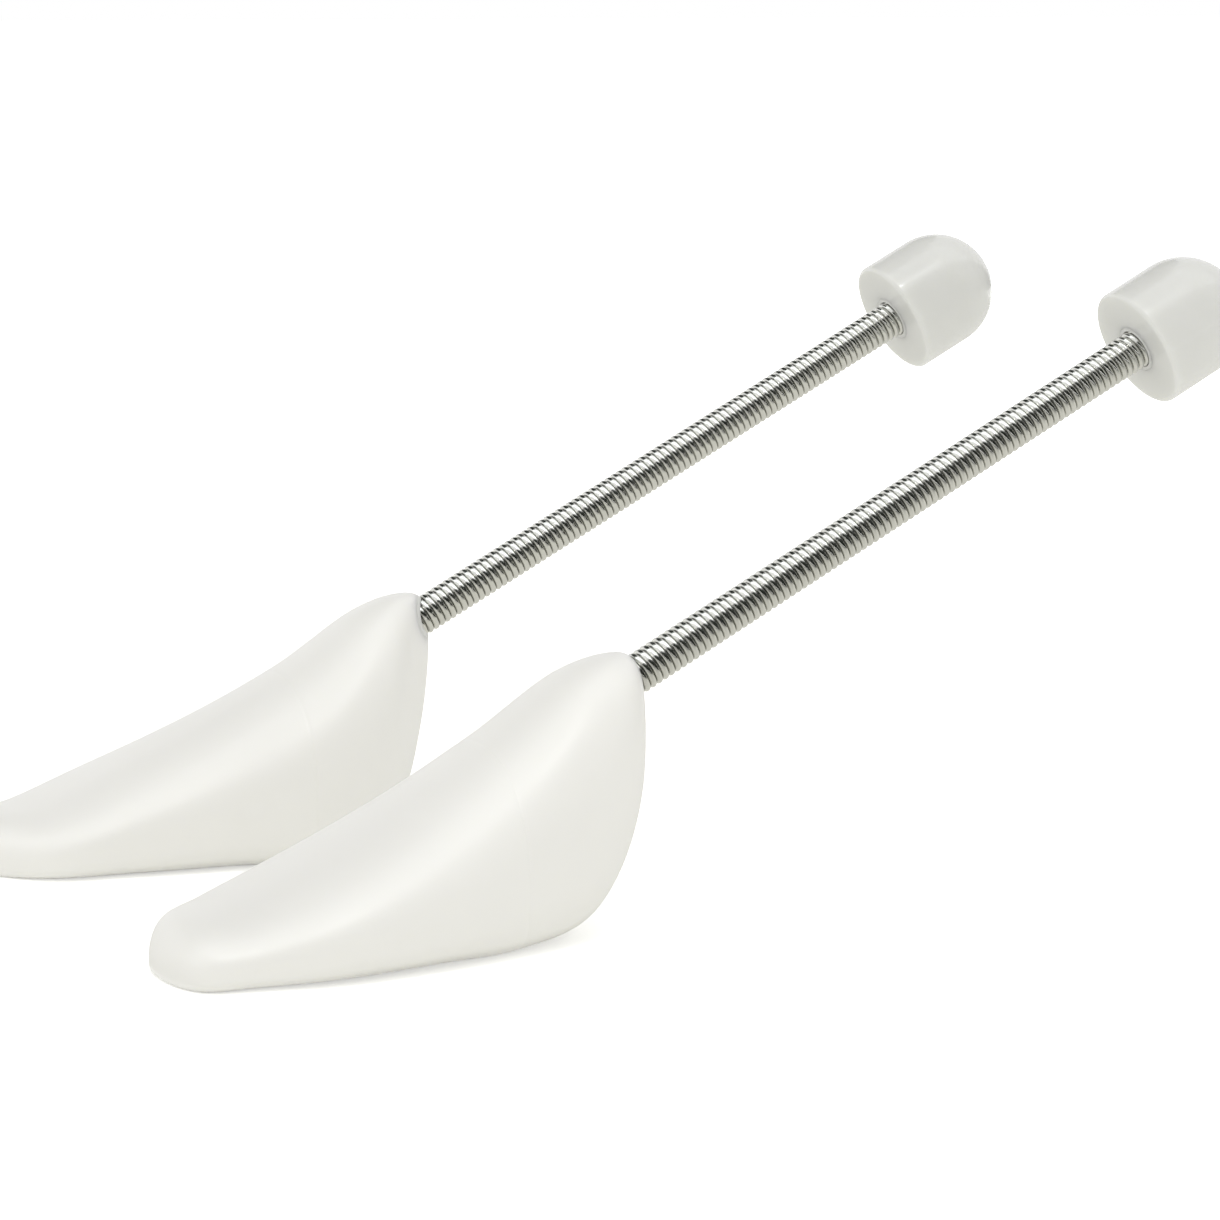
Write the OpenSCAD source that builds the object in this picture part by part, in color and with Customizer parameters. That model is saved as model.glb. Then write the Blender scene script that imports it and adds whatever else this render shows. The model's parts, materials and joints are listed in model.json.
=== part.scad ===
// A pair of spring shoe stretchers, standing side by side on their soles.
// Each one is a hollow moulded toe form, a coil spring that rises out of its
// back, and a domed heel knob on the spring's far end. The spring is pushed
// into a blind socket at each end and gripped there by a peg inside its coils.
// X runs from the toes to the heel knobs, Y across the pair, Z up from the soles.

/* [Toe form] */
// Length of the toe form, from its tip to its back
toe_len = 132; // [118:1:150]
// Height of the crown above the sole
toe_h = 68.5; // [62:0.5:78]
// Half width of the ball on the inner side of the foot
half_in = 35.5; // [30:0.5:42]
// Half width of the ball on the outer side of the foot
half_out = 32; // [28:0.5:40]
// How far the tip leans to the inner side of the foot
tip_lean = 12.3; // [6:0.1:18]
// Wall of the hollow toe form
toe_wall = 3; // [2:0.25:4]

/* [Spring] */
// Outside diameter of the spring
spring_od = 10.5; // [9.5:0.25:12]
// Diameter of the spring wire
wire_d = 1.9; // [1.6:0.1:2.2]
// Length of spring between the toe's socket and the knob's face
spring_len = 166; // [145:1:185]
// Slope of the spring above the sole, in degrees
spring_rise = 28; // [20:1:34]
// Distance from each socket to the first place where the spring bends
bend_start = 9; // [7:0.5:12]
// Gap between the wire ends of two lengths of spring that bend against each other
link_gap = 0.4; // [0.3:0.05:0.6]

/* [Sockets and pegs] */
// Depth of the bore that holds the spring's end
socket_depth = 14; // [10:0.5:18]
// Wall of the socket around the spring
socket_wall = 0.9; // [0.7:0.1:1.4]
// Floor of the socket behind the spring's end
socket_floor = 2; // [1.5:0.25:3]
// Depth of the socket's mouth below the crown of the toe form
mouth_drop = 6.9; // [6:0.1:9]
// Setback of the socket's mouth from the back of the toe form
mouth_setback = 1.6; // [1:0.2:2.4]
// Length of the peg inside the spring's end
peg_len = 12; // [8:0.5:16]

/* [Heel knob] */
// Diameter of the heel knob
knob_d = 33; // [28:0.5:38]
// Length of its straight side, from the flat face to the start of the dome
knob_side = 16; // [10:0.5:20]
// Wall of the hollow knob
knob_wall = 2.5; // [2:0.25:3.5]
// Round edge between the knob's face and its side
knob_edge = 1.5; // [1:0.25:2.5]
// Wall of the sleeve inside the knob that carries its socket
sleeve_wall = 1.4; // [1:0.1:2]
// How far the socket's rim stands out of the knob's face
rim_proud = 0.4; // [0.2:0.1:1]

/* [Pair] */
// Distance between the two springs
pair_spacing = 113; // [96:1:140]
// How far the left stretcher stands ahead of the right one
pair_stagger = 13; // [0:1:30]

/* [Fits] */
// Clearance between the spring and its socket, all round
spring_fit = 0.25; // [0.2:0.05:0.4]
// Clearance between a socket and the bore that it is pressed into, all round
socket_fit = 0.1; // [0.05:0.05:0.2]
// Clearance between a peg and the inside of the spring, all round
peg_fit = 0.15; // [0.1:0.05:0.3]
// Gap between the spring's cut end and the socket's floor
end_gap = 0.3; // [0.2:0.05:0.5]

/* [Hidden] */
SIDES = ["right", "left"];
BENDS = 9;

// Colours of the moulded and plated pieces
milk = "#e6e6e1";
haze = "#d2d3ce";
steel = "#b4b7ba";

// Steps round a true curve
fine = 96;

// The toe form's shape at nine even stations from tip to back: the crown's
// height and the sole's height as shares of toe_h, then the inner and the
// outer half widths as shares of half_in and half_out.
toe_rows = [
    [0.02, 0.02, 0, 0],
    [0.19, -0.015, 0.59, 0.48],
    [0.24, -0.015, 0.79, 0.85],
    [0.365, -0.015, 0.985, 0.91],
    [0.53, -0.015, 1, 0.95],
    [0.73, -0.015, 0.895, 1],
    [0.945, 0.075, 0.725, 0.8],
    [1, 0.42, 0.44, 0.27],
    [0.925, 0.925, 0, 0]
];
toe_stations = len(toe_rows) - 1;
// Height of the widest place of a section, as a share of the section's height
waist = 0.375;
// Roundness of the crown and squareness of the sole's edges
crown_power = 2.2;
sole_power = 3.5;
// Smallest half size of the cavity's sections
cavity_min = 0.05;
// Steps along the toe form and points round it, outside and in the cavity
toe_steps = 24;
toe_points = 32;
cavity_steps = 12;
cavity_points = 16;

// The spring: rings of six points, eight rings to a curl
ring_points = 6;
curl_rings = 8;
coil_r = (spring_od - wire_d) / 2;
wire_r = wire_d / 2;
// Each length between two bends turns a quarter more than four full curls, so
// that its wire ends lie on the bend's axis: side, top, other side, bottom.
link_turns = 4.25;
link_len = (spring_len - 2 * bend_start) / (BENDS - 1);
pitch = link_len / link_turns;
// Radius of the wire's last turn into the straight end
tail_r = 1.3;
tail_steps = 3;
// Angle by which a wire end stops short of the bend's axis
trim = link_gap / 2 / coil_r * 180 / PI;

// Sockets and pegs
bore_r = spring_od / 2 + spring_fit;
socket_r = bore_r + socket_wall;
socket_len = socket_depth + socket_floor;
peg_r = coil_r * cos(180 / curl_rings) - wire_r - peg_fit;
peg_tip = 1;

// Heel knob
knob_r = knob_d / 2;
hole_r = socket_r + socket_fit;
sleeve_r = hole_r + sleeve_wall;

// Where the spring leaves the toe form
mouth_x = toe_len - mouth_setback;
mouth_z = toe_h - mouth_drop;
dome_x = mouth_x + (spring_len + knob_side) * cos(spring_rise);
// The pair's own frame has its origin at the middle of its base
mid_x = (dome_x + knob_r - pair_stagger) / 2;
mid_y = pair_spacing / 2;
// Size of the block that cuts the soles flat
big = 4 * toe_len;

// A smooth curve through evenly spaced values
function past(v, i) =
    i < 0 ? 2 * v[0] - v[1]
    : i >= len(v) ? 2 * v[len(v) - 1] - v[len(v) - 2]
    : v[i];
function smooth(v, t) =
    let (i = min(floor(t), len(v) - 2), f = t - i)
    let (a = past(v, i - 1), b = v[i], c = v[i + 1], d = past(v, i + 2))
    b + f / 2 * (c - a + f * (2 * a - 5 * b + 4 * c - d + f * (3 * (b - c) + d - a)));
function column(rows, k, size) = [for (r = rows) r[k] * size];
function bulge(v, power) = sign(v) * pow(abs(v), 2 / power);

// One section of the toe form at share u of its length, drawn in by inset
function toe_ring(u, sides, inset) =
    let (t = u * toe_stations)
    let (x = inset + (toe_len - 2 * inset) * (1 - cos(180 * u)) / 2)
    let (top = smooth(column(toe_rows, 0, toe_h), t))
    let (low = smooth(column(toe_rows, 1, toe_h), t))
    let (base = inset > 0 ? max(low, 0) : low)
    let (half = max((top - base) / 2 - inset, inset > 0 ? cavity_min : 0))
    let (z0 = (top + base) / 2 - half, z1 = (top + base) / 2 + half)
    let (inner = smooth(column(toe_rows, 2, half_in), t) - inset)
    let (outer = smooth(column(toe_rows, 3, half_out), t) - inset)
    let (lean = -tip_lean * pow(1 - x / toe_len, 2))
    let (zw = z0 + (z1 - z0) * waist)
    [for (k = [0:sides - 1])
        let (a = 360 * k / sides)
        let (power = sin(a) > 0 ? crown_power : sole_power)
        let (w = max(cos(a) < 0 ? inner : outer, cavity_min))
        let (h = sin(a) > 0 ? z1 - zw : zw - z0)
        [x, lean + w * bulge(cos(a), power), zw + h * bulge(sin(a), power)]
    ];
function toe_pole(u, inset) =
    let (x = inset + (toe_len - 2 * inset) * u)
    let (z = smooth(column(toe_rows, 0, toe_h), u * toe_stations))
    [x, -tip_lean * pow(1 - x / toe_len, 2), z];

// A closed skin over rings of points, with a single point at each end
module skin(first, rings, last) {
    n = len(rings[0]);
    m = len(rings);
    end = 1 + m * n;
    points = [first, for (r = rings) each r, last];
    faces = [
        for (k = [0:n - 1]) [0, 1 + k, 1 + (k + 1) % n],
        for (i = [0:m - 2], k = [0:n - 1])
            let (a = 1 + i * n + k, b = 1 + i * n + (k + 1) % n)
            each [[a, a + n, b + n], [a, b + n, b]],
        for (k = [0:n - 1]) [end, end - n + (k + 1) % n, end - n + k]
    ];
    polyhedron(points, faces, convexity = 6);
}

module toe_body(steps, sides, inset) {
    rings = [for (i = [1:steps - 1]) toe_ring(i / steps, sides, inset)];
    skin(toe_pole(0, inset), rings, toe_pole(1, inset));
}

// Places its children along the spring: X from the toe's mouth to the knob
module along_spring(s = 0) {
    translate([mouth_x, 0, mouth_z])
        rotate([0, -spring_rise, 0])
            translate([s, 0, 0])
                children();
}

// A round bar along X
module bar(r, length) {
    rotate([0, 90, 0])
        cylinder(h = length, r = r, $fn = fine);
}

// Hollow toe form, cut flat at the sole, with a hole for its socket
module toe_form() {
    color(milk)
        difference() {
            toe_body(toe_steps, toe_points, 0);
            toe_body(cavity_steps, cavity_points, toe_wall);
            translate([-big / 2, -big / 2, -big])
                cube(big);
            along_spring(-socket_len)
                bar(hole_r, 2 * socket_len);
        }
}

// Blind socket that holds one end of the spring. Its depth is measured from
// X = 0, and the tube can run on past that.
module socket(run_on = 0) {
    color(haze)
        difference() {
            translate([-socket_len, 0, 0])
                bar(socket_r, socket_len + run_on);
            translate([-socket_depth, 0, 0])
                bar(bore_r, 2 * socket_depth);
        }
}

// The toe's socket, cut off flush with the toe form's skin
module toe_socket() {
    intersection() {
        along_spring() socket(socket_depth / 2);
        toe_body(toe_steps, toe_points, 0);
    }
}

// Peg that grips the spring's end coils from inside, its foot at X = 0
module peg() {
    color(haze) {
        bar(peg_r, peg_len);
        translate([peg_len, 0, 0])
            rotate([0, 90, 0])
                cylinder(h = peg_tip, r1 = peg_r, r2 = peg_r - peg_tip, $fn = fine);
    }
}

// A frame on the wire: its centre, its direction and its outward normal. The
// angle starts at the side of the spring and rises a full turn in each pitch.
function on_coil(s, a) =
    let (along = pitch / 360 * 180 / PI)
    let (t = [along, -coil_r * sin(a), coil_r * cos(a)])
    [[s, coil_r * cos(a), coil_r * sin(a)], t / norm(t), [0, cos(a), sin(a)]];
function coil_run(s0, a0, a1) =
    let (steps = ceil((a1 - a0) / 360 * curl_rings - 0.001))
    [for (i = [0:steps])
        let (a = a0 + (a1 - a0) * i / steps)
        on_coil(s0 + pitch * a / 360, a)
    ];
// The wire's end turns out of the coil and runs straight to the socket's floor
function tail(f, dir) =
    [for (i = [1:tail_steps])
        let (b = 90 * i / tail_steps)
        let (c = f[0] + tail_r * (sin(b) * dir * f[1] + (1 - cos(b)) * [dir, 0, 0]))
        let (t = cos(b) * f[1] + sin(b) * [1, 0, 0])
        [c, t / norm(t), f[2]],
     let (c = f[0] + tail_r * dir * f[1] + (tail_r + wire_d) * [dir, 0, 0])
        [c, [1, 0, 0], f[2]]
    ];
function reversed(v) = [for (i = [len(v) - 1:-1:0]) v[i]];

// Length of wire end between the last full curl and the socket's floor
tail_len = tail_r + wire_d + end_gap;
function bend_s(k) = bend_start + k * link_len;
function bend_a(k) = 360 * link_turns * k;
// The coil's angle where its first and its last straight end begin
first_a = (tail_len - socket_depth - bend_start) / pitch * 360;
last_a = bend_a(BENDS - 1)
    + (bend_start + socket_depth - rim_proud - tail_len) / pitch * 360;

function spring_frames(i) =
    let (a0 = i == 0 ? first_a : bend_a(i - 1) + trim)
    let (a1 = i == BENDS ? last_a : bend_a(i) - trim)
    let (run = coil_run(bend_start, a0, a1))
    [
        each i == 0 ? reversed(tail(run[0], -1)) : [],
        each run,
        each i == BENDS ? tail(run[len(run) - 1], 1) : []
    ];
function wire_ring(f) =
    [for (k = [0:ring_points - 1])
        let (b = 360 * k / ring_points)
        f[0] + wire_r * (cos(b) * f[2] + sin(b) * cross(f[1], f[2]))
    ];

// One length of the spring, between two of the places where it bends
module spring_link(i) {
    frames = spring_frames(i);
    n = ring_points;
    end = len(frames) * n - 1;
    points = [for (f = frames) each wire_ring(f)];
    faces = [
        for (k = [1:n - 2]) [0, k, k + 1],
        for (j = [0:len(frames) - 2], k = [0:n - 1])
            let (a = j * n + k, b = j * n + (k + 1) % n)
            each [[a, a + n, b + n], [a, b + n, b]],
        for (k = [1:n - 2]) [end, end - k, end - k - 1]
    ];
    color(steel)
        polyhedron(points, faces, convexity = 10);
}

// The wire's least gap to itself, measured on the points of the coil from one
// curl to the next
function least_gap(frames) =
    let (rings = [for (f = frames) wire_ring(f)])
    min([for (i = [0:len(rings) - 1], j = [i + curl_rings / 2:len(rings) - 1])
        if (j - i <= 2 * curl_rings)
            min([for (p = rings[i], q = rings[j]) norm(p - q)])
    ]);
echo(least_gap_mm = min([for (i = [0, 1, BENDS]) least_gap(spring_frames(i))]));
echo(curls_in_all = 2 * (last_a - first_a) / 360, pitch_mm = pitch);

// Heel knob: a flat face with a round edge, a straight side and a dome. It is
// hollow, and a sleeve behind its face carries the socket.
module knob_outline() {
    square([knob_r - knob_edge, knob_side]);
    translate([0, knob_edge])
        square([knob_r, knob_side - knob_edge]);
    translate([knob_r - knob_edge, knob_edge])
        circle(r = knob_edge, $fn = fine);
    translate([0, knob_side])
        intersection() {
            circle(r = knob_r, $fn = fine);
            square(knob_r);
        }
}

module knob_cavity() {
    difference() {
        union() {
            translate([0, knob_wall])
                square([knob_r - knob_wall, knob_side - knob_wall]);
            translate([0, knob_side])
                intersection() {
                    circle(r = knob_r - knob_wall, $fn = fine);
                    square(knob_r);
                }
        }
        square([sleeve_r, socket_len]);
    }
}

module heel_knob() {
    color(haze)
        rotate([0, 90, 0])
            difference() {
                rotate_extrude($fn = fine)
                    difference() {
                        knob_outline();
                        knob_cavity();
                    }
                translate([0, 0, -knob_wall])
                    cylinder(h = socket_len - rim_proud + knob_wall, r = hole_r, $fn = fine);
            }
}

// Each stretcher stands at its own place. Only the toe form and its socket are
// mirrored: both springs are wound the same way.
module place(side) {
    left = side == "left";
    translate([(left ? -pair_stagger : 0) - mid_x, (left ? pair_spacing : 0) - mid_y, 0])
        children();
}

module sided(side) {
    mirror([0, side == "left" ? 1 : 0, 0])
        children();
}

for (side = SIDES)
    place(side) {
        sided(side) toe_form();
        sided(side) toe_socket();
        along_spring(-socket_depth) peg();
        for (i = [0:BENDS])
            along_spring() spring_link(i);
        along_spring(spring_len - rim_proud + socket_depth) mirror([1, 0, 0]) peg();
        along_spring(spring_len - rim_proud) mirror([1, 0, 0]) socket();
        along_spring(spring_len) heel_knob();
    }
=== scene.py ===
import json
import math

import bpy
import numpy as np
from mathutils import Matrix, Vector


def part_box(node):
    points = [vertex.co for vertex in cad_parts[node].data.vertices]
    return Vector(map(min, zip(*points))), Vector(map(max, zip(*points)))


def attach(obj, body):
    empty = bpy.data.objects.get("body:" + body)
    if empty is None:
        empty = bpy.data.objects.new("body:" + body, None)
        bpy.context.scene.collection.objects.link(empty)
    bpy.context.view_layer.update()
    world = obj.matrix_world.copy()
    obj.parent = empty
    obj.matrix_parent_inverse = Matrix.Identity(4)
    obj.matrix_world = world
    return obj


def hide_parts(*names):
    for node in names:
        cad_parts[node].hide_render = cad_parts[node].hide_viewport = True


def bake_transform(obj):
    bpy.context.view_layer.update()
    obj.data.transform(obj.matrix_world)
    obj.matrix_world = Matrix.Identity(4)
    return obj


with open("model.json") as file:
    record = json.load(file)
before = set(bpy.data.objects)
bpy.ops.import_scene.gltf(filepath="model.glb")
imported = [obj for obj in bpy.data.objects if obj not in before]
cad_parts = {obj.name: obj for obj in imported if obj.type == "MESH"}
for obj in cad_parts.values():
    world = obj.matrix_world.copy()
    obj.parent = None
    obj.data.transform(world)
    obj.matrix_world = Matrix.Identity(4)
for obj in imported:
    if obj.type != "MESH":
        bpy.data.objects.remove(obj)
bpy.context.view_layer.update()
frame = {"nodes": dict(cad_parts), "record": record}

# Toe forms. Each is one hollow shell of milky polyethylene, blow-moulded in a
# mould of two halves, and it stands on a flat sole. The right and the left are
# mirror images. Behind the crown is a round hole for the spring's socket.
MM = 0.001
SIDES = ("right", "left")
TOE_LENGTH = 132 * MM
TOE_HEIGHT = 68.5 * MM
HALF_INNER = 35.45 * MM
HALF_OUTER = 32 * MM
# How far the tip leans towards the big toe
TIP_LEAN = 12.3 * MM
# The shape at nine even stations from tip to back: the crown's height and the
# sole's height as shares of TOE_HEIGHT, then the inner and the outer half
# widths as shares of HALF_INNER and HALF_OUTER.
TOE_STATIONS = np.array([
    [0.02, 0.02, 0, 0],
    [0.19, -0.015, 0.59, 0.48],
    [0.24, -0.015, 0.79, 0.85],
    [0.365, -0.015, 0.985, 0.91],
    [0.53, -0.015, 1, 0.95],
    [0.73, -0.015, 0.895, 1],
    [0.945, 0.075, 0.725, 0.8],
    [1, 0.42, 0.44, 0.27],
    [0.925, 0.925, 0, 0],
])
# The height of the widest line, as a share of the form's height there, and how
# square the section is above and below that line. A power of 2 is an ellipse.
WAIST = 0.375
CROWN_POWER = 2.2
SOLE_POWER = 3.5
# Rings from tip to back, and points round each ring
TOE_STEPS = 144
TOE_POINTS = 192
# A faint line that the mould leaves across the crown
MOULD_LINE = 88.6 * MM
MOULD_LINE_WIDTH = 0.4 * MM
MOULD_LINE_DEPTH = 0.07 * MM
HOLE_RADIUS = 6.43 * MM
HOLE_DEPTH = 17 * MM
# Points round the hole and the sockets
ROUND = 96
# Edges that turn by more than this stay crisp
CRISP = math.radians(50)


def smooth_through(values, at):
    """A smooth curve through evenly spaced values, read at the places in at."""
    before = 2 * values[0] - values[1]
    after = 2 * values[-1] - values[-2]
    padded = np.concatenate([[before], values, [after]])
    i = np.minimum(at.astype(int), len(values) - 2)
    f = at - i
    a, b, c, d = (padded[i + k] for k in range(4))
    cubic = 2 * a - 5 * b + 4 * c - d + f * (3 * (b - c) + d - a)
    return b + f / 2 * (c - a + f * cubic)


def bulge(v, power):
    """Makes a sine or cosine fuller, so that a circle turns into a rounded square."""
    return np.sign(v) * np.abs(v) ** (2 / power)


def new_piece(name, points, faces, material, slot):
    """A smooth mesh of one material, which the object is made of."""
    mesh = bpy.data.meshes.new(name)
    mesh.from_pydata([tuple(p) for p in points], [], faces)
    mesh.shade_smooth()
    mesh.materials.append(material)
    piece = bpy.data.objects.new(name, mesh)
    bpy.context.scene.collection.objects.link(piece)
    return piece


def ring_faces(rings, points):
    """Faces between rings of points that follow each other in a list."""
    return [
        (i * points + k, i * points + (k + 1) % points,
         (i + 1) * points + (k + 1) % points, (i + 1) * points + k)
        for i in range(rings - 1) for k in range(points)
    ]


def toe_skin():
    """Points and faces of a right toe form with its tip at x = 0."""
    even = np.arange(1, TOE_STEPS) / TOE_STEPS
    across_line = MOULD_LINE + MOULD_LINE_WIDTH * np.arange(-4, 5) / 2
    extra = np.arccos(1 - 2 * across_line / TOE_LENGTH) / np.pi
    u = np.sort(np.concatenate([even, extra]))
    x = TOE_LENGTH * (1 - np.cos(np.pi * u)) / 2
    sunk = MOULD_LINE_DEPTH * np.exp(-((x - MOULD_LINE) / MOULD_LINE_WIDTH) ** 2)
    at = u * (len(TOE_STATIONS) - 1)
    crown, sole, inner, outer = (
        smooth_through(TOE_STATIONS[:, k], at) * size
        for k, size in enumerate((TOE_HEIGHT, TOE_HEIGHT, HALF_INNER, HALF_OUTER))
    )
    lean = -TIP_LEAN * (1 - x / TOE_LENGTH) ** 2
    waist = sole + (crown - sole) * WAIST
    crown, inner, outer = crown - sunk, inner - sunk, outer - sunk
    a = 2 * np.pi * np.arange(TOE_POINTS) / TOE_POINTS
    above = np.sin(a) > 0
    power = np.where(above, CROWN_POWER, SOLE_POWER)
    width = np.where(np.cos(a) < 0, inner[:, None], outer[:, None])
    height = np.where(above, (crown - waist)[:, None], (waist - sole)[:, None])
    y = lean[:, None] + width * bulge(np.cos(a), power)
    z = np.maximum(waist[:, None] + height * bulge(np.sin(a), power), 0)
    rings = np.stack([np.broadcast_to(x[:, None], y.shape), y, z], -1).reshape(-1, 3)
    tip = [0, -TIP_LEAN, TOE_STATIONS[0, 0] * TOE_HEIGHT]
    back = [TOE_LENGTH, 0, TOE_STATIONS[-1, 0] * TOE_HEIGHT]
    end = len(rings)
    last = end - TOE_POINTS
    faces = ring_faces(len(x), TOE_POINTS)
    for k in range(TOE_POINTS):
        after = (k + 1) % TOE_POINTS
        faces += [(end, after, k), (end + 1, last + k, last + after)]
    return np.concatenate([rings, [tip, back]]), faces


def colour(code):
    """An sRGB hex value as the linear colour that a socket takes."""
    parts = [int(code[i:i + 2], 16) / 255 for i in (1, 3, 5)]
    linear = [p / 12.92 if p <= 0.04045 else ((p + 0.055) / 1.055) ** 2.4 for p in parts]
    return linear + [1]


def add(tree, kind, inputs=None, **settings):
    """Adds a node. An input that is given another node's socket is linked."""
    made = tree.nodes.new(kind)
    for key, value in settings.items():
        setattr(made, key, value)
    for key, value in (inputs or {}).items():
        if isinstance(value, bpy.types.NodeSocket):
            tree.links.new(value, made.inputs[key])
        else:
            made.inputs[key].default_value = value
    return made


def new_material(name):
    """An empty material and its node tree."""
    made = bpy.data.materials.new(name)
    made.use_nodes = True
    made.node_tree.nodes.clear()
    return made, made.node_tree


# Where a mix node keeps the factor, the two colours and the mixed colour
MIX_FACTOR, MIX_A, MIX_B, MIX_RESULT = 0, 6, 7, 2


def mixed(tree, share, from_code, to_code):
    """A colour that goes from one hex value to another as the share rises."""
    tint = add(tree, "ShaderNodeMix",
               {MIX_FACTOR: share, MIX_A: colour(from_code), MIX_B: colour(to_code)},
               data_type="RGBA")
    return tint.outputs[MIX_RESULT]


def moulded_plastic(name, pale, deep, cloud_mm, grain_mm, relief_mm, surface):
    """Milky moulded plastic: soft clouds in its colour and a fine skin grain."""
    made, tree = new_material(name)
    place = add(tree, "ShaderNodeTexCoord").outputs["Object"]
    clouds = add(tree, "ShaderNodeTexNoise",
                 {"Vector": place, "Scale": 1 / (cloud_mm * MM), "Detail": 3.0})
    grain = add(tree, "ShaderNodeTexNoise",
                {"Vector": place, "Scale": 1 / (grain_mm * MM), "Detail": 2.0})
    skin = add(tree, "ShaderNodeBump",
               {"Height": grain.outputs[0], "Distance": relief_mm * MM, "Strength": 1.0})
    shader = add(tree, "ShaderNodeBsdfPrincipled", {
        "Base Color": mixed(tree, clouds.outputs[0], deep, pale),
        "Normal": skin.outputs[0],
        **surface,
    })
    add(tree, "ShaderNodeOutputMaterial", {"Surface": shader.outputs[0]})
    return made


# Polyethylene, blow-moulded: milky, with light glowing a few millimetres
# through it, and a soft satin skin taken from the mould's blasted face. The
# real grain is too fine to show, so it is drawn coarser.
toe_plastic = moulded_plastic(
    "blow_moulded_polyethylene", "#f0efea", "#eae9e4", cloud_mm=45, grain_mm=1.1,
    relief_mm=0.012, surface={
        "Roughness": 0.4,
        "IOR": 1.5,
        "Subsurface Weight": 0.5,
        "Subsurface Radius": (1.0, 1.0, 0.92),
        "Subsurface Scale": 4 * MM,
    })

# The spring's straight line, through its first and its last hinge in the packed
# record. Its nine hinges are evenly spaced along it.
joints = {j["name"]: j for j in frame["record"]["behaviour"]["joints"]}
BENDS = 9
BEND_START = 9 * MM
SPRING_LENGTH = 166 * MM
spring_axis = {}
spring_mouth = {}
for side in SIDES:
    first, last = (Vector(joints[f"{side}_{name}"]["pos_m"]) for name in ("bend", "bend_5"))
    spring_axis[side] = (last - first).normalized()
    spring_mouth[side] = first - BEND_START * spring_axis[side]


def along_spring(side):
    """Places X along the spring, with its start at the toe form's socket."""
    along = spring_axis[side]
    across = Vector((0, 1, 0))
    up = along.cross(across)
    turn = Matrix((along, across, up)).transposed().to_4x4()
    return Matrix.Translation(spring_mouth[side]) @ turn


def revolved(outline, turns):
    """Points and faces of an outline of (x, radius) turned about X. A radius
    of 0 at either end closes it with a single point."""
    rings = [(x, r) for x, r in outline if r > 0]
    a = 2 * np.pi * np.arange(turns) / turns
    points = [(x, r * c, r * s) for x, r in rings for c, s in zip(np.cos(a), np.sin(a))]
    faces = ring_faces(len(rings), turns)
    if outline[0][1] == 0:
        points.append((outline[0][0], 0, 0))
        end = len(points) - 1
        faces += [(end, (k + 1) % turns, k) for k in range(turns)]
    if outline[-1][1] == 0:
        points.append((outline[-1][0], 0, 0))
        end = len(points) - 1
        last = (len(rings) - 1) * turns
        faces += [(end, last + k, last + (k + 1) % turns) for k in range(turns)]
    return points, faces


def placed(points, matrix):
    """The points moved to their place by a matrix."""
    return [matrix @ Vector(p) for p in points]


def boolean(piece, tool, operation):
    """Cuts a piece with a tool, or keeps what lies inside it, and deletes the tool."""
    cut = piece.modifiers.new("cut", "BOOLEAN")
    cut.object = tool
    cut.operation = operation
    cut.solver = "EXACT"
    seen = bpy.context.evaluated_depsgraph_get()
    piece.data = bpy.data.meshes.new_from_object(piece.evaluated_get(seen))
    piece.modifiers.clear()
    piece.data.shade_smooth()
    piece.data.set_sharp_from_angle(angle=CRISP)
    bpy.data.objects.remove(tool)


def toe_points(side):
    """Points and faces of one side's toe form, in its place."""
    points, faces = toe_skin()
    if side == "left":
        points = points * [1, -1, 1]
        faces = [f[::-1] for f in faces]
    place = [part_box(f"{side}_toe_form")[0].x, spring_mouth[side].y, 0]
    return points + np.array(place), faces


# The hole that the socket is pressed into
HOLE_OUTLINE = [(-HOLE_DEPTH, 0), (-HOLE_DEPTH, HOLE_RADIUS), (HOLE_DEPTH, HOLE_RADIUS),
                (HOLE_DEPTH, 0)]
for side in SIDES:
    toe = new_piece(f"{side}_toe_shell", *toe_points(side), toe_plastic, "toe_plastic")
    points, faces = revolved(HOLE_OUTLINE, ROUND)
    drill = new_piece("drill", placed(points, along_spring(side)), faces, toe_plastic,
                      "toe_plastic")
    boolean(toe, drill, "DIFFERENCE")
    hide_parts(f"{side}_toe_form")
    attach(toe, f"{side}_toe")

# Sockets. A blind tube of polypropylene at each end of the spring, pressed into
# the toe form and the knob. In the toe it is cut flush with the skin, and on the
# knob's face its rounded lip shows as a thin ring. The pegs inside the spring's
# ends are the CAD solids, of the same plastic.
SOCKET_DEPTH = 14 * MM
SOCKET_FLOOR = 2 * MM
BORE_RADIUS = 5.5 * MM
SOCKET_RADIUS = 6.4 * MM
# The lip closes in on the spring and falls off to the knob's face
LIP_INNER = 5.33 * MM
LIP_TOP = 5.5 * MM
LIP_OUTER = 5.85 * MM
LIP_HEIGHT = 0.12 * MM
RIM_PROUD = 0.4 * MM
LIP_STEPS = 8
THROAT_STEPS = 6

# Polypropylene, injection-moulded: as milky as the toe form but a little
# greyer and smoother, so that the edge of a tube stands out against it.
socket_plastic = moulded_plastic(
    "moulded_polypropylene", "#e2e2dd", "#dadad5", cloud_mm=12, grain_mm=0.5,
    relief_mm=0.004, surface={
        "Roughness": 0.3,
        "IOR": 1.49,
        "Subsurface Weight": 0.4,
        "Subsurface Radius": (1.0, 1.0, 0.92),
        "Subsurface Scale": 2 * MM,
    })


def arc(x, r, size, start, end, steps):
    """Points of a round corner about (x, r), from one angle to another."""
    angles = [math.radians(start + (end - start) * k / steps) for k in range(steps + 1)]
    return [(x + size * math.cos(a), r + size * math.sin(a)) for a in angles]


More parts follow.
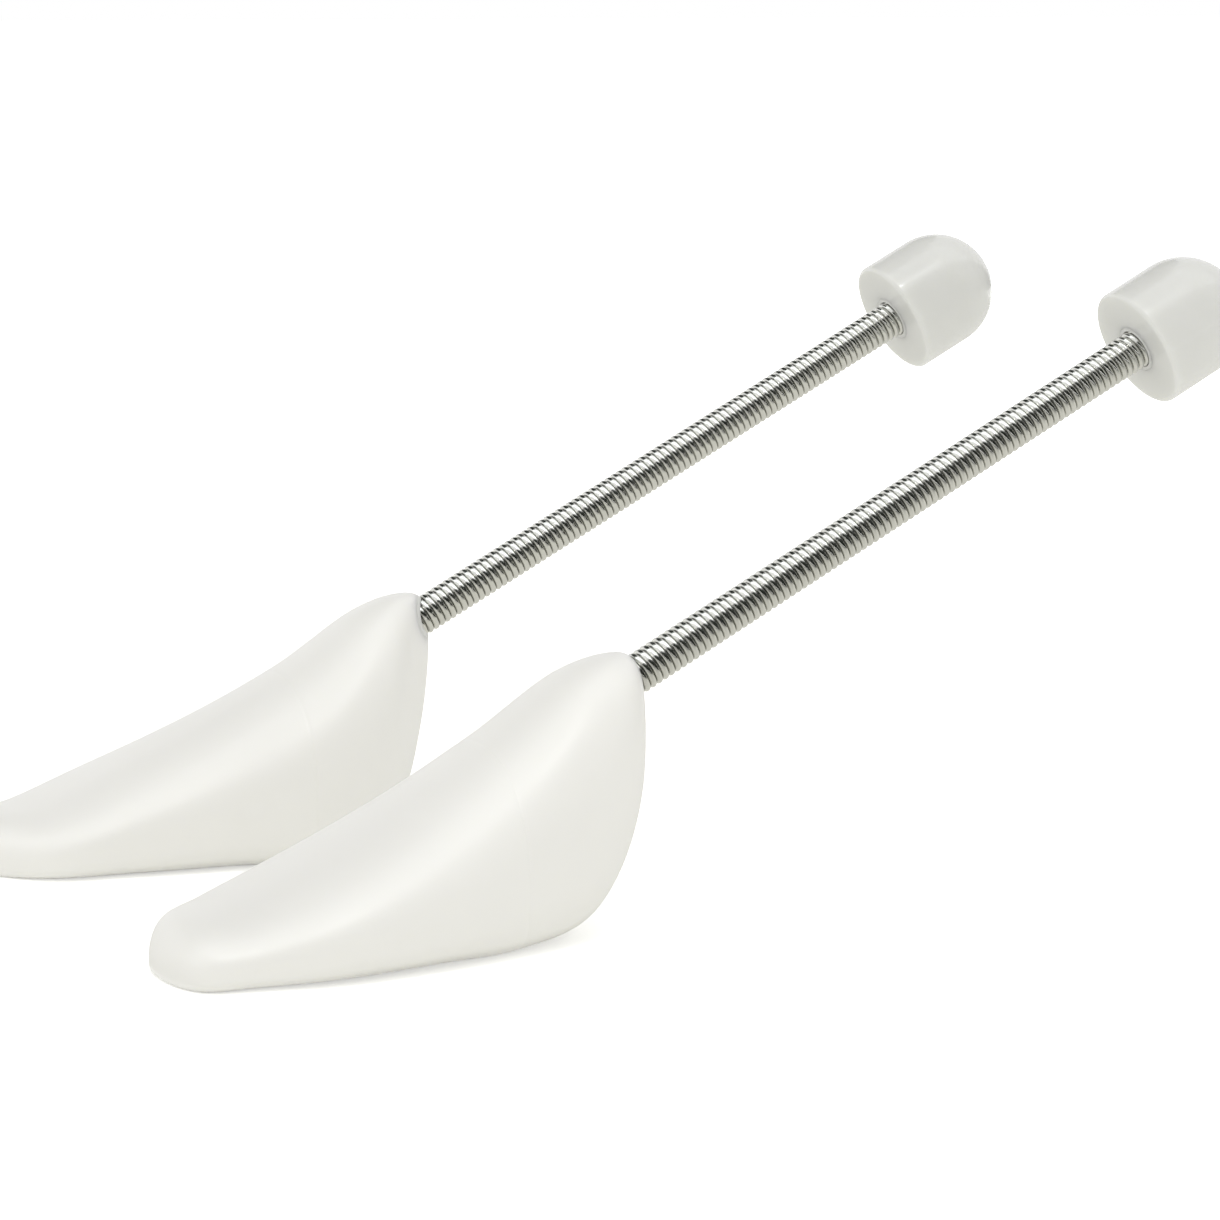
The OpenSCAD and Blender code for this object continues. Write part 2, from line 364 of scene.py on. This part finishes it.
bottom = [(-SOCKET_DEPTH - SOCKET_FLOOR, 0), (-SOCKET_DEPTH - SOCKET_FLOOR, SOCKET_RADIUS)]
inside = [(-SOCKET_DEPTH, BORE_RADIUS), (-SOCKET_DEPTH, 0)]
lip = [(-RIM_PROUD, SOCKET_RADIUS)]
for a in np.linspace(0, math.pi / 2, LIP_STEPS + 1):
    lip.append((-RIM_PROUD + LIP_HEIGHT * math.sin(a),
                LIP_TOP + (LIP_OUTER - LIP_TOP) * math.cos(a)))
throat = arc(-RIM_PROUD + LIP_HEIGHT + LIP_INNER - LIP_TOP, LIP_TOP,
             LIP_TOP - LIP_INNER, 0, -90, THROAT_STEPS)[1:]
# The toe's tube starts too long, and the toe form's skin trims it
SOCKET_OUTLINE = {
    "toe": [*bottom, (SOCKET_DEPTH / 2, SOCKET_RADIUS), (SOCKET_DEPTH / 2, LIP_INNER),
            (-SOCKET_FLOOR, LIP_INNER), *inside],
    "knob": [*bottom, *lip, *throat, (-SOCKET_FLOOR, LIP_INNER), *inside],
}
FLIP = Matrix.Rotation(math.pi, 4, "Z")
for side in SIDES:
    for end in ("toe", "knob"):
        points, faces = revolved(SOCKET_OUTLINE[end], ROUND)
        place = along_spring(side)
        if end == "knob":
            place = place @ Matrix.Translation((SPRING_LENGTH - RIM_PROUD, 0, 0)) @ FLIP
        tube = new_piece(f"{side}_{end}_socket_tube", placed(points, place), faces,
                         socket_plastic, "socket_plastic")
        tube.data.set_sharp_from_angle(angle=CRISP)
        if end == "toe":
            skin = new_piece("skin", *toe_points(side), socket_plastic, "socket_plastic")
            boolean(tube, skin, "INTERSECT")
        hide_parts(f"{side}_{end}_socket")
        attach(tube, f"{side}_toe" if end == "toe" else f"{side}_heel")
        peg = frame["nodes"][f"{side}_{end}_peg"]
        peg.data.materials.clear()
        peg.data.materials.append(socket_plastic)

# Springs. Each is one close-wound coil of nickel-plated spring wire, cut off
# inside the socket at each end. It is drawn in nine pieces that share their
# ends, one for each place where the spring bends.
SPRING_DIAMETER = 10.5 * MM
WIRE = 1.9 * MM
COIL_GAP = 0.03 * MM
# From the wire's cut ends to the sockets' floors
END_GAP = 0.3 * MM
# Points along one turn of the wire, and round its section
COIL_POINTS = 40
WIRE_POINTS = 14
coil_radius = (SPRING_DIAMETER - WIRE) / 2
pitch = WIRE + COIL_GAP
coil_start = -SOCKET_DEPTH + END_GAP + WIRE / 2
coil_end = SPRING_LENGTH - RIM_PROUD + SOCKET_DEPTH - END_GAP - WIRE / 2
coil_steps = round((coil_end - coil_start) / pitch * COIL_POINTS)
hinge_step = (SPRING_LENGTH - 2 * BEND_START) / (BENDS - 1)
# Plated wire is mirror-bright along the wire, with fine lines from the die that
# drew it. They are drawn coarser than the real ones, which would not show.
DIE_LINE_LENGTH = 25 * MM
DIE_LINE_WIDTH = 0.12 * MM
DIE_LINE_DEPTH = 0.002 * MM
# Duller patches to the metre, along the wire and round it: 11 mm by 3 mm each
DULL_ALONG = 90
DULL_ROUND = 300


def plated_wire():
    """Nickel on drawn steel wire: bright and grey, and duller in patches."""
    made, tree = new_material("nickel_plated_wire")
    wire = add(tree, "ShaderNodeUVMap", uv_map="wire").outputs[0]
    drawn = add(tree, "ShaderNodeMapping",
                {"Vector": wire, "Scale": (1 / DIE_LINE_LENGTH, 1 / DIE_LINE_WIDTH, 1)})
    lines = add(tree, "ShaderNodeTexNoise",
                {"Vector": drawn.outputs[0], "Scale": 1.0, "Detail": 2.0})
    patches = add(tree, "ShaderNodeMapping",
                  {"Vector": wire, "Scale": (DULL_ALONG, DULL_ROUND, 1)})
    dull = add(tree, "ShaderNodeTexNoise",
               {"Vector": patches.outputs[0], "Scale": 1.0, "Detail": 3.0})
    roughness = add(tree, "ShaderNodeMapRange",
                    {"Value": dull.outputs[0], "To Min": 0.13, "To Max": 0.24})
    skin = add(tree, "ShaderNodeBump",
               {"Height": lines.outputs[0], "Distance": DIE_LINE_DEPTH, "Strength": 1.0})
    shader = add(tree, "ShaderNodeBsdfPrincipled", {
        "Base Color": mixed(tree, dull.outputs[0], "#d0d0cb", "#dededa"),
        "Metallic": 1.0,
        "Roughness": roughness.outputs[0],
        "Normal": skin.outputs[0],
    })
    add(tree, "ShaderNodeOutputMaterial", {"Surface": shader.outputs[0]})
    return made


def wire_skin(first, last):
    """Points, outward normals and distances along the wire of the coil between
    two of its steps."""
    t = np.arange(first, last + 1)
    turn = 2 * np.pi * t / COIL_POINTS
    s = coil_start + t * pitch / COIL_POINTS
    radial = np.stack([0 * s, np.cos(turn), np.sin(turn)], -1)
    ahead = np.stack([0 * s + pitch / (2 * np.pi), -coil_radius * np.sin(turn),
                      coil_radius * np.cos(turn)], -1)
    run = np.linalg.norm(ahead[0]) * 2 * np.pi / COIL_POINTS
    ahead /= np.linalg.norm(ahead, axis=1)[:, None]
    sideways = np.cross(ahead, radial)
    centre = radial * coil_radius + np.stack([s, 0 * s, 0 * s], -1)
    b = 2 * np.pi * np.arange(WIRE_POINTS) / WIRE_POINTS
    normal = np.cos(b)[:, None] * radial[:, None] + np.sin(b)[:, None] * sideways[:, None]
    points = centre[:, None] + WIRE / 2 * normal
    return points.reshape(-1, 3), normal.reshape(-1, 3), t * run


def wire_coordinates(mesh, run):
    """A map with the distance along the wire and the distance round it."""
    layer = mesh.uv_layers.new(name="wire")
    step = math.pi * WIRE / WIRE_POINTS
    corners = [(run[i + a], (k + b) * step) for i in range(len(run) - 1)
               for k in range(WIRE_POINTS) for a, b in ((0, 0), (0, 1), (1, 1), (1, 0))]
    corners += [(run[-1], 0)] * (len(mesh.loops) - len(corners))
    layer.data.foreach_set("uv", np.array(corners, np.float32).ravel())


spring_steel = plated_wire()
# The coil is parted halfway between the hinges
cuts = [0]
for k in range(1, BENDS):
    middle = BEND_START + (k - 0.5) * hinge_step
    cuts.append(round((middle - coil_start) / pitch * COIL_POINTS))
cuts.append(coil_steps)
for side in SIDES:
    place = along_spring(side)
    turned = place.to_3x3()
    for k in range(BENDS):
        points, normals, run = wire_skin(cuts[k], cuts[k + 1])
        faces = ring_faces(len(run), WIRE_POINTS)
        nodes = [f"{side}_spring_{k + 1}"]
        if k == 0:
            faces.append(tuple(range(WIRE_POINTS - 1, -1, -1)))
        if k == BENDS - 1:
            faces.append(tuple(range(len(points) - WIRE_POINTS, len(points))))
            nodes.append(f"{side}_spring_{BENDS + 1}")
        coil = new_piece(f"{side}_coil_{k + 1}", placed(points, place), faces, spring_steel,
                         "spring_steel")
        wire_coordinates(coil.data, run)
        coil.data.normals_split_custom_set_from_vertices([turned @ Vector(n) for n in normals])
        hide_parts(*nodes)
        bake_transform(coil)

# Heel knobs. Each is one hollow moulding of glossy polypropylene with a flat
# face, a rounded edge, a straight side and a domed end.
KNOB_RADIUS = 16.5 * MM
KNOB_SIDE = 16 * MM
KNOB_EDGE = 1.1 * MM
# Points round the knob, and rings along its edge, its dome and its straight parts
KNOB_ROUND = 160
EDGE_STEPS = 12
DOME_STEPS = 48
SIDE_STEPS = 8
# Polypropylene from a polished mould: greyer than the toe form, with a thin
# clear gloss over a body that light enters, and a slow waviness in its skin.
knob_plastic = moulded_plastic(
    "glossy_polypropylene", "#dededa", "#d4d4cf", cloud_mm=20, grain_mm=3.5,
    relief_mm=0.004, surface={
        "Roughness": 0.24,
        "Specular IOR Level": 0.25,
        "Coat Weight": 0.25,
        "Coat Roughness": 0.04,
        "IOR": 1.49,
        "Subsurface Weight": 0.6,
        "Subsurface Radius": (1.0, 1.0, 0.9),
        "Subsurface Scale": 5 * MM,
    })
bore_floor = SOCKET_DEPTH + SOCKET_FLOOR - RIM_PROUD
face_width = KNOB_RADIUS - KNOB_EDGE - HOLE_RADIUS
side_length = KNOB_SIDE - KNOB_EDGE
KNOB_OUTLINE = [
    (bore_floor, 0),
    (bore_floor, HOLE_RADIUS),
    (0, HOLE_RADIUS),
    *[(0, HOLE_RADIUS + face_width * k / SIDE_STEPS) for k in range(1, SIDE_STEPS, 2)],
    *arc(KNOB_EDGE, KNOB_RADIUS - KNOB_EDGE, KNOB_EDGE, 180, 90, EDGE_STEPS),
    *[(KNOB_EDGE + side_length * k / SIDE_STEPS, KNOB_RADIUS) for k in range(1, SIDE_STEPS)],
    *arc(KNOB_SIDE, 0, KNOB_RADIUS, 90, 0, DOME_STEPS)[:-1],
    (KNOB_SIDE + KNOB_RADIUS, 0),
]
for side in SIDES:
    points, faces = revolved(KNOB_OUTLINE, KNOB_ROUND)
    place = along_spring(side) @ Matrix.Translation((SPRING_LENGTH, 0, 0))
    knob = new_piece(f"{side}_knob_shell", placed(points, place), faces, knob_plastic,
                     "knob_plastic")
    knob.data.set_sharp_from_angle(angle=CRISP)
    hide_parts(f"{side}_heel_knob")
    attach(knob, f"{side}_heel")

# Floor: a plain white table that runs out of sight. It takes the shadow of the
# soles, and its own light for the camera brings the open floor up to white.
FLOOR_SIZE = 60.0
TABLE_CLOUDS = 6.0  # to the metre
# The glow for every ray, then for what the camera sees near the pair and away
# from it, between two distances from the middle
GLOW_TABLE = 0.12
GLOW_NEAR = 0.38
GLOW_FAR = 1.0
NEAR_UNTIL = 0.3
FAR_FROM = 0.9


def seen_directly(tree):
    """1 for what the camera sees, also in a mirror or through clear material."""
    ray = add(tree, "ShaderNodeLightPath").outputs
    either = add(tree, "ShaderNodeMath",
                 {0: ray["Is Camera Ray"], 1: ray["Is Glossy Ray"]}, operation="MAXIMUM")
    return add(tree, "ShaderNodeMath",
               {0: either.outputs[0], 1: ray["Is Transmission Ray"]},
               operation="MAXIMUM").outputs[0]


def table_white():
    """Matt white laminate with faint clouds, and a glow for the camera."""
    made, tree = new_material("white_table")
    place = add(tree, "ShaderNodeTexCoord").outputs["Object"]
    clouds = add(tree, "ShaderNodeTexNoise", {"Vector": place, "Scale": TABLE_CLOUDS})
    matt = add(tree, "ShaderNodeBsdfDiffuse",
               {"Color": mixed(tree, clouds.outputs[0], "#f3f3f0", "#f6f6f3")})
    reach = add(tree, "ShaderNodeVectorMath", {0: place}, operation="LENGTH")
    open_floor = add(tree, "ShaderNodeMapRange", {
        "Value": reach.outputs["Value"],
        "From Min": NEAR_UNTIL,
        "From Max": FAR_FROM,
        "To Min": GLOW_NEAR - GLOW_TABLE,
        "To Max": GLOW_FAR - GLOW_TABLE,
    })
    level = add(tree, "ShaderNodeMath",
                {0: seen_directly(tree), 1: open_floor.outputs[0], 2: GLOW_TABLE},
                operation="MULTIPLY_ADD")
    glow = add(tree, "ShaderNodeEmission", {"Strength": level.outputs[0]})
    both = add(tree, "ShaderNodeAddShader", {0: matt.outputs[0], 1: glow.outputs[0]})
    add(tree, "ShaderNodeOutputMaterial", {"Surface": both.outputs[0]})
    return made


def stage_piece(name, points, faces, material):
    """A piece of the room, which is no part of the object."""
    mesh = bpy.data.meshes.new(name)
    mesh.from_pydata(points, [], faces)
    mesh.materials.append(material)
    made = bpy.data.objects.new(name, mesh)
    bpy.context.scene.collection.objects.link(made)
    return made


def card(name, width, height, material):
    """A flat card of the room, lying face up in the middle."""
    w, h = width / 2, height / 2
    corners = [(-w, -h, 0), (w, -h, 0), (w, h, 0), (-w, h, 0)]
    return stage_piece(name, corners, [(0, 1, 2, 3)], material)


card("floor", FLOOR_SIZE, FLOOR_SIZE, table_white())

# Camera: the photograph's own viewpoint, from the right stretcher's side and
# nine degrees above the floor, with a long lens.
SENSOR = 36.0
LENS = 115.08
AZIMUTH = math.radians(23.85)
ELEVATION = math.radians(9.0)
DISTANCE = 1.03
CLIP_END = 100
LOOK_AT = spring_mouth["right"] + Vector((13.8, 44.1, 10.1)) * MM
back = Vector((
    -math.sin(AZIMUTH) * math.cos(ELEVATION),
    -math.cos(AZIMUTH) * math.cos(ELEVATION),
    math.sin(ELEVATION),
))
camera = bpy.data.objects.new("camera", bpy.data.cameras.new("camera"))
camera.data.lens = LENS
camera.data.sensor_width = SENSOR
camera.data.clip_end = CLIP_END
camera.location = LOOK_AT + DISTANCE * back
camera.rotation_euler = (-back).to_track_quat("-Z", "Y").to_euler()
bpy.context.scene.collection.objects.link(camera)
bpy.context.scene.camera = camera

# Studio light: pale walls light the pair from all round, and one lamp high in
# front of it gives the knobs their small highlights.
AMBIENT = 0.86
KNOBS = Vector((0.14, 0, 0.15))
LAMP_WIDTH = 0.5
LAMP_DEPTH = 0.28
LAMP_WATTS = 16
LAMP_DISTANCE = 3.3
LAMP_DIRECTION = Vector((-0.163, -0.395, 0.903)).normalized()
lamp_data = bpy.data.lights.new("front_edge_lamp", "AREA")
lamp_data.shape = "RECTANGLE"
lamp_data.size = LAMP_WIDTH
lamp_data.size_y = LAMP_DEPTH
lamp_data.energy = LAMP_WATTS
lamp = bpy.data.objects.new("front_edge_lamp", lamp_data)
lamp.location = KNOBS + LAMP_DISTANCE * LAMP_DIRECTION
lamp.rotation_euler = (KNOBS - lamp.location).to_track_quat("-Z", "Y").to_euler()
bpy.context.scene.collection.objects.link(lamp)

world = bpy.data.worlds.new("pale_walls")
world.use_nodes = True
world.node_tree.nodes.clear()
level = add(world.node_tree, "ShaderNodeMapRange",
            {"Value": seen_directly(world.node_tree), "To Min": AMBIENT, "To Max": 1.0})
walls = add(world.node_tree, "ShaderNodeBackground",
            {"Color": colour("#ffffff"), "Strength": level.outputs[0]})
add(world.node_tree, "ShaderNodeOutputWorld", {"Surface": walls.outputs[0]})
bpy.context.scene.world = world

# The photographer's room, for the reflections in the springs and knobs alone:
# dark cloths round the camera and behind the pair, a long softbox overhead, and
# cream paper under the pair. The camera itself sees none of it.
ROOM_MIDDLE = 0.07
CLOTH_STEPS = 24
WEAVE = 2.5 * MM
# The paper lies just above the floor
PAPER_HEIGHT = 0.002
SOFTBOX_HEIGHT = 4.9
SOFTBOX_FORWARD = 0.52
# The softbox's face is brightest up to the first distance from its long middle
# line and falls off to the second
SOFTBOX_LEVEL = 1.9
SOFTBOX_EDGE_LEVEL = 0.9
SOFTBOX_BRIGHT_TO = 1.5
SOFTBOX_EDGE = 3.0


def cloth(name, dark, pale, axis="Y", pale_from=None, pale_to=None):
    """Woven cloth or paper. It is flecked with both colours, or fades from the
    dark one to the pale one between two places along one of its own axes."""
    made, tree = new_material(name)
    place = add(tree, "ShaderNodeTexCoord").outputs["Object"]
    if pale_from is None:
        share = add(tree, "ShaderNodeTexNoise", {"Vector": place, "Scale": 1 / WEAVE})
    else:
        along = add(tree, "ShaderNodeSeparateXYZ", {"Vector": place}).outputs[axis]
        share = add(tree, "ShaderNodeMapRange",
                    {"Value": along, "From Min": pale_from, "From Max": pale_to})
    matt = add(tree, "ShaderNodeBsdfDiffuse",
               {"Color": mixed(tree, share.outputs[0], dark, pale)})
    add(tree, "ShaderNodeOutputMaterial", {"Surface": matt.outputs[0]})
    return made


def bent_cloth(name, radius, low_angle, high_angle, end_angle, middle, spread, material):
    """A cloth on the inside of a ball about the pair. Its angles are in degrees:
    its lower edge, its upper edge in the middle and at the ends, all above the
    horizon, then the direction of its middle and half of its width."""
    points = []
    for up in np.linspace(0, 1, CLOTH_STEPS + 1):
        for aside in np.linspace(-1, 1, CLOTH_STEPS + 1):
            top = high_angle + (end_angle - high_angle) * aside * aside
            height = math.radians(low_angle + (top - low_angle) * up)
            direction = math.radians(middle + spread * aside)
            flat = radius * math.cos(height)
            points.append((flat * math.cos(direction), flat * math.sin(direction),
                           radius * math.sin(height) + ROOM_MIDDLE))
    row = CLOTH_STEPS + 1
    faces = [(i + k, i + k + 1, i + k + row + 1, i + k + row)
             for i in range(0, CLOTH_STEPS * row, row) for k in range(CLOTH_STEPS)]
    return stage_piece(name, points, faces, material)


def softbox_face():
    """The bright cloth of a softbox, which falls off towards its long edges."""
    made, tree = new_material("softbox_face")
    place = add(tree, "ShaderNodeTexCoord").outputs["Object"]
    across = add(tree, "ShaderNodeSeparateXYZ", {"Vector": place}).outputs["Y"]
    aside = add(tree, "ShaderNodeMath", {0: across}, operation="ABSOLUTE")
    level = add(tree, "ShaderNodeMapRange", {
        "Value": aside.outputs[0],
        "From Min": SOFTBOX_BRIGHT_TO,
        "From Max": SOFTBOX_EDGE,
        "To Min": SOFTBOX_LEVEL,
        "To Max": SOFTBOX_EDGE_LEVEL,
    })
    glow = add(tree, "ShaderNodeEmission",
               {"Color": colour("#fbfeff"), "Strength": level.outputs[0]})
    add(tree, "ShaderNodeOutputMaterial", {"Surface": glow.outputs[0]})
    return made


towards_camera = math.degrees(math.atan2(back.y, back.x))
paper = card("table_paper", 6.0, 2.0,
             cloth("cream_paper", "#232722", "#eeede5", axis="Y", pale_from=-0.5,
                   pale_to=-0.03))
paper.rotation_euler = (0, 0, -AZIMUTH)
paper.location = (0, 0, PAPER_HEIGHT)
softbox = card("overhead_softbox", 36.0, 2 * SOFTBOX_EDGE, softbox_face())
softbox.rotation_euler = (math.pi, 0, -AZIMUTH)
softbox.location = (SOFTBOX_FORWARD * Vector((back.x, back.y, 0)).normalized()
                    + Vector((0, 0, SOFTBOX_HEIGHT)))
camera_side = bent_cloth(
    "camera_side_cloth", radius=5.0, low_angle=-4, high_angle=59, end_angle=0,
    middle=towards_camera + 50, spread=100,
    material=cloth("fading_cloth", "#232722", "#e8e8e8", axis="Z", pale_from=3.5,
                   pale_to=4.5))
far_side = bent_cloth(
    "far_side_cloth", radius=4.0, low_angle=28, high_angle=77, end_angle=48,
    middle=towards_camera - 138, spread=48,
    material=cloth("black_cloth", "#232722", "#2e332c"))
for only_reflected in (paper, softbox, camera_side, far_side):
    only_reflected.visible_camera = False
    only_reflected.visible_diffuse = False
    only_reflected.visible_transmission = False
    only_reflected.visible_shadow = False

view = bpy.context.scene.view_settings
view.view_transform = "Standard"
